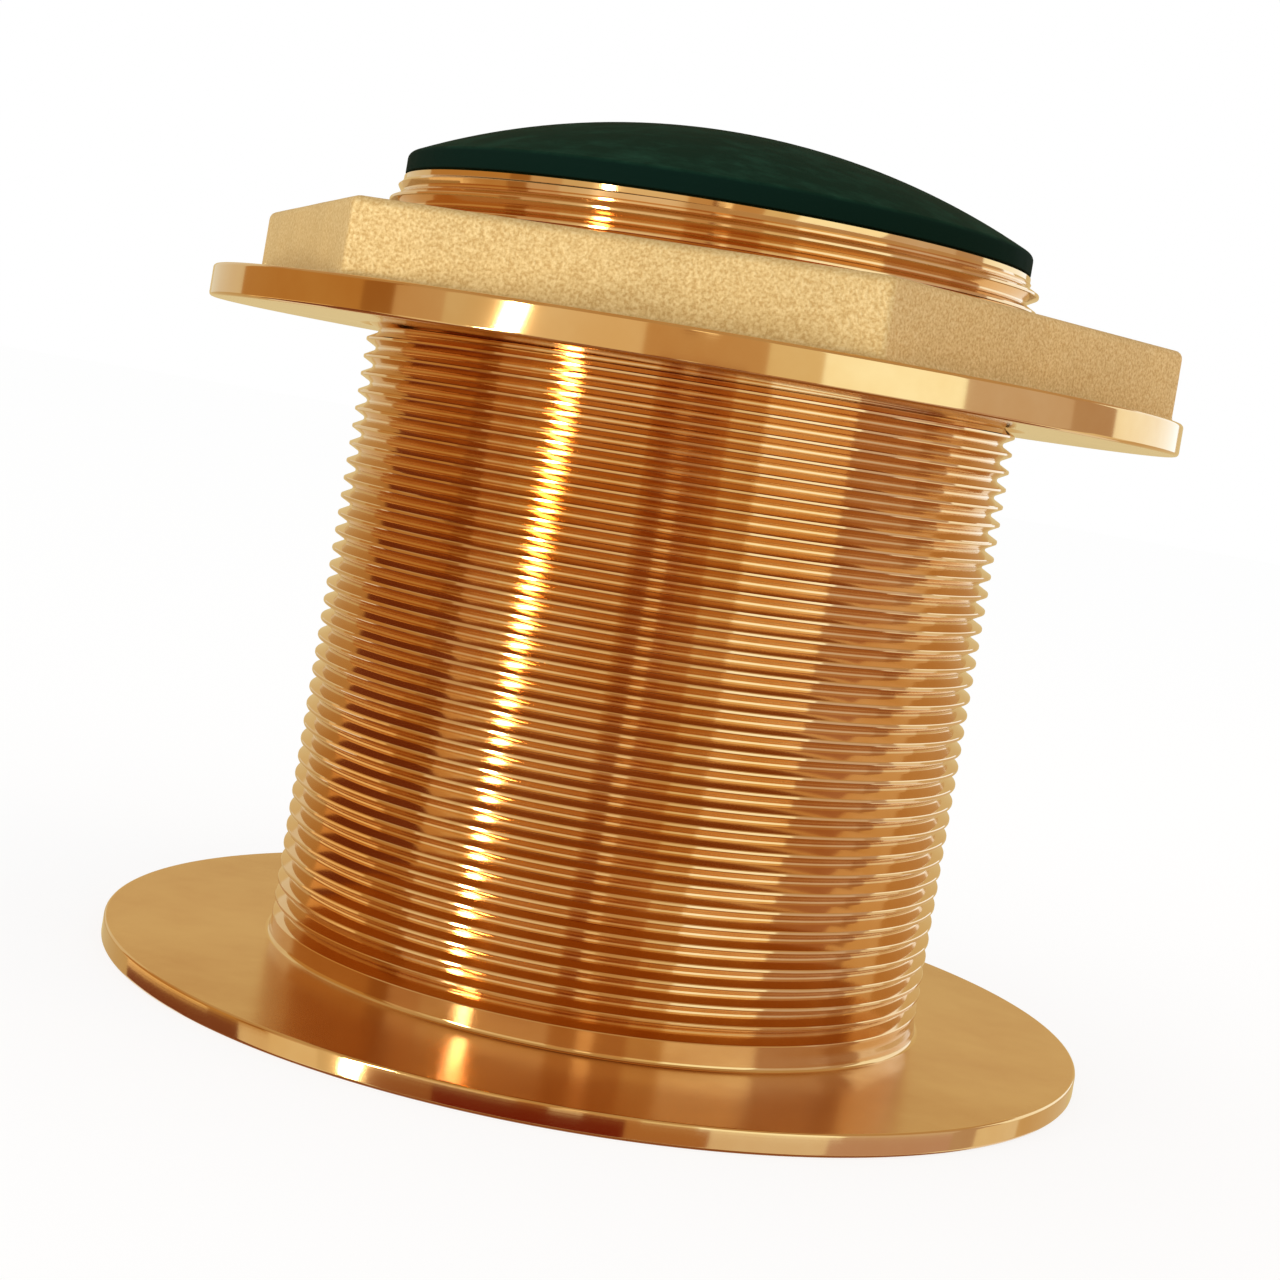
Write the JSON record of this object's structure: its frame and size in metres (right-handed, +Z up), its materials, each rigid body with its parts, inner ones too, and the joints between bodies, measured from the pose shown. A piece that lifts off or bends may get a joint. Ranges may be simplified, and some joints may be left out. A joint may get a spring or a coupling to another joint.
{
  "type": "sonar transducer",
  "caption": "Bronze thru-hull sonar transducer: thin round flange, threaded hollow stem, hexagonal hull nut with a round collar, and a dark green domed end cap with a cable inlet.",
  "frame": {"origin": "centre of the flange's underside, where the transducer stands", "axes": "+Z up the stem towards the domed cap; two flats of the hull nut's hexagon face -Y and +Y"},
  "size_m": [0.112, 0.112, 0.0999],
  "materials": {
    "bronze_turned": "turned bronze, bright rim and thread, satin flange face",
    "bronze_cast": "sand-cast bronze hexagon with a turned collar",
    "green_resin": "moulded dark green resin, satin",
    "rubber": "moulded black rubber",
    "window_resin": "cast black polyurethane, satin",
    "matching_epoxy": "filled epoxy, ground flat",
    "ceramic": "fired ceramic with a silver coat",
    "cork": "pressed cork",
    "cup_plastic": "moulded acetal",
    "potting": "cast amber resin",
    "brass_post": "turned brass",
    "board": "glass-epoxy board with green mask",
    "plated_steel": "tin-plated steel",
    "ferrite": "ground ferrite",
    "bobbin_plastic": "moulded nylon",
    "copper": "enamelled copper wire"
  },
  "bodies": {
    "transducer": {"housing": "bronze_turned", "end_cap": "green_resin", "cap_seal": "rubber", "cable_bush": "rubber", "acoustic_window": "window_resin", "matching_layer": "matching_epoxy", "piezo_disc": "ceramic", "cork_ring": "cork", "cork_disc": "cork", "element_cup": "cup_plastic", "potting_layer": "potting", "element_leads": "copper", "board_posts": "brass_post", "terminal_board": "board", "board_screws": "plated_steel", "terminal_pins": "plated_steel", "core_lower": "ferrite", "core_upper": "ferrite", "winding_bobbin": "bobbin_plastic", "winding": "copper", "core_screw": "plated_steel", "core_washer": "plated_steel", "core_nut": "plated_steel"},
    "nut": {"hull_nut": "bronze_cast"}
  },
  "joints": [
    {"name": "nut_travel", "type": "slide", "parent": "transducer", "child": "nut", "axis": [0, 0, 1], "range_m": [-0.066, 0.012]}
  ]
}
